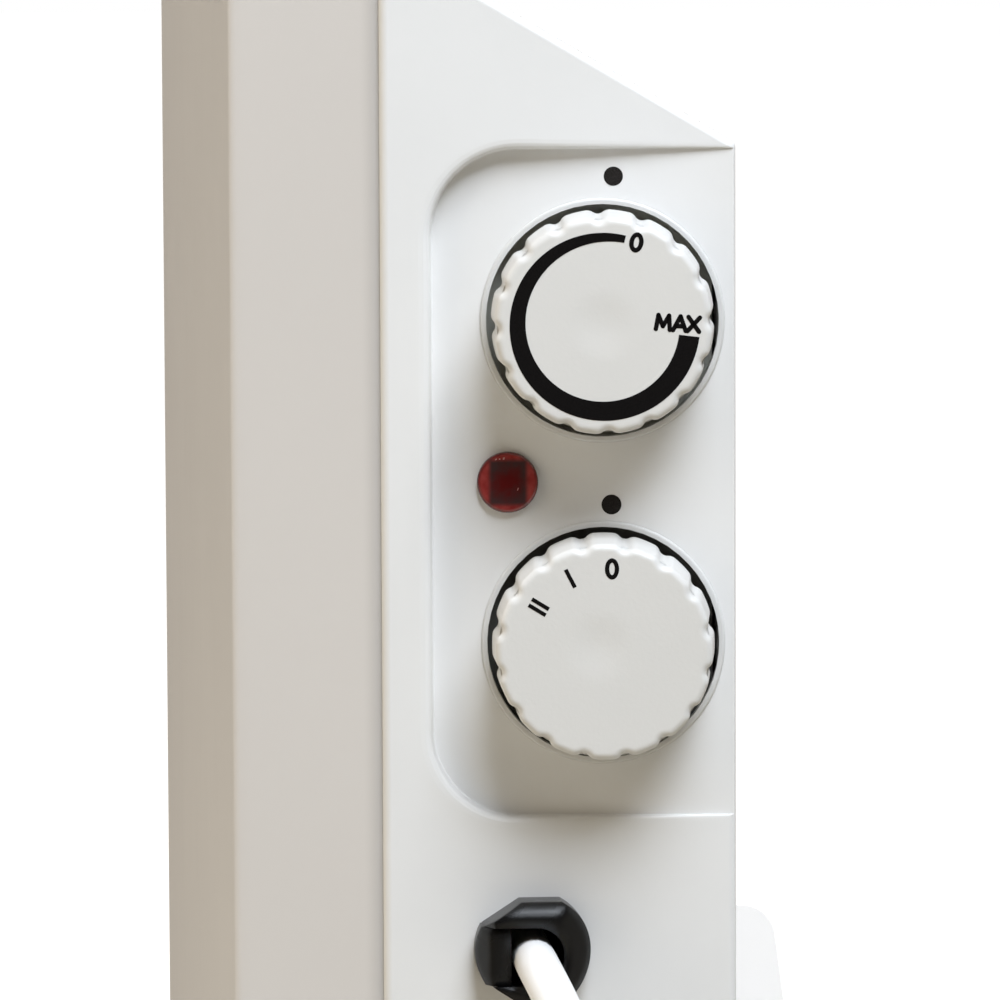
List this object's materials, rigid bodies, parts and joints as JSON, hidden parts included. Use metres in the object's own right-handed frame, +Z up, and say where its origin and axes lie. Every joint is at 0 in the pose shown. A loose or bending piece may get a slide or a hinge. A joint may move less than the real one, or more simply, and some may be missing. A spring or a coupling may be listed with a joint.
{
  "type": "electric convector heater",
  "caption": "Floor or wall convector heater: bevelled steel front, sloped top, moulded end caps, a thermostat knob and a power switch in a tilted end recess, and a mains cord.",
  "frame": {"origin": "on the floor, at the centre of the heater's footprint without its free cord", "axes": "+X towards the control end, -Y the bevelled front, +Z up"},
  "size_m": [0.6634, 0.3214, 0.4402],
  "materials": {
    "painted_steel": "satin",
    "rear_steel": "satin",
    "white_moulding": "satin",
    "knob_moulding": "satin",
    "black_moulding": "satin",
    "red_lens": "gloss",
    "device_moulding": "matt",
    "terminals": "bright",
    "bare_steel": "brushed",
    "plated_sheet": "matt",
    "bare_aluminium": "extruded",
    "ceramic_white": "matt",
    "white_cord": "satin",
    "lead_sleeve": "satin",
    "foot_rubber": "matt"
  },
  "bodies": {
    "heater": {"front_panel": "painted_steel", "rear_panel": "rear_steel", "bottom_grille": "rear_steel", "wall_bracket": "rear_steel", "right_end_cap": "white_moulding", "left_end_cap": "white_moulding", "control_carrier": "black_moulding", "cord_gland_body": "black_moulding", "cord_gland_wedge": "black_moulding", "left_foot": "black_moulding", "right_foot": "black_moulding", "indicator_lens": "red_lens", "indicator_body": "device_moulding", "thermostat_body": "device_moulding", "switch_body": "device_moulding", "terminal_block": "device_moulding", "thermal_cutout": "device_moulding", "thermostat_terminals": "terminals", "switch_terminals": "terminals", "cutout_terminals": "terminals", "plug_pins": "terminals", "end_cap_screws": "bare_steel", "control_screws": "bare_steel", "foot_screws": "bare_steel", "bracket_screws": "bare_steel", "heater_sheath": "bare_steel", "heater_pins": "bare_steel", "control_partition": "plated_sheet", "heater_bracket": "plated_sheet", "heat_shield": "plated_sheet", "heater_fins": "bare_aluminium", "heater_bushes": "ceramic_white", "mains_cord": "white_cord", "inner_cord": "white_cord", "cord_coil": "white_cord", "cord_tail": "white_cord", "plug_body": "white_cord", "lead_wires": "lead_sleeve", "cord_tie": "lead_sleeve", "foot_pads": "foot_rubber"},
    "thermostat_dial": {"thermostat_knob": "knob_moulding", "thermostat_spindle": "bare_steel", "thermostat_knob_clip": "bare_steel"},
    "switch_dial": {"switch_knob": "knob_moulding", "switch_spindle": "bare_steel", "switch_knob_clip": "bare_steel"}
  },
  "joints": [
    {"name": "thermostat_turn", "type": "hinge", "parent": "heater", "child": "thermostat_dial", "pos_m": [0.29007, 0.01528, 0.35522], "axis": [-0.9969, 0.0785, 0], "range_deg": [-18, 254]},
    {"name": "switch_turn", "type": "hinge", "parent": "heater", "child": "switch_dial", "pos_m": [0.29007, 0.01528, 0.29522], "axis": [-0.9969, 0.0785, 0], "range_deg": [0, 60]}
  ]
}
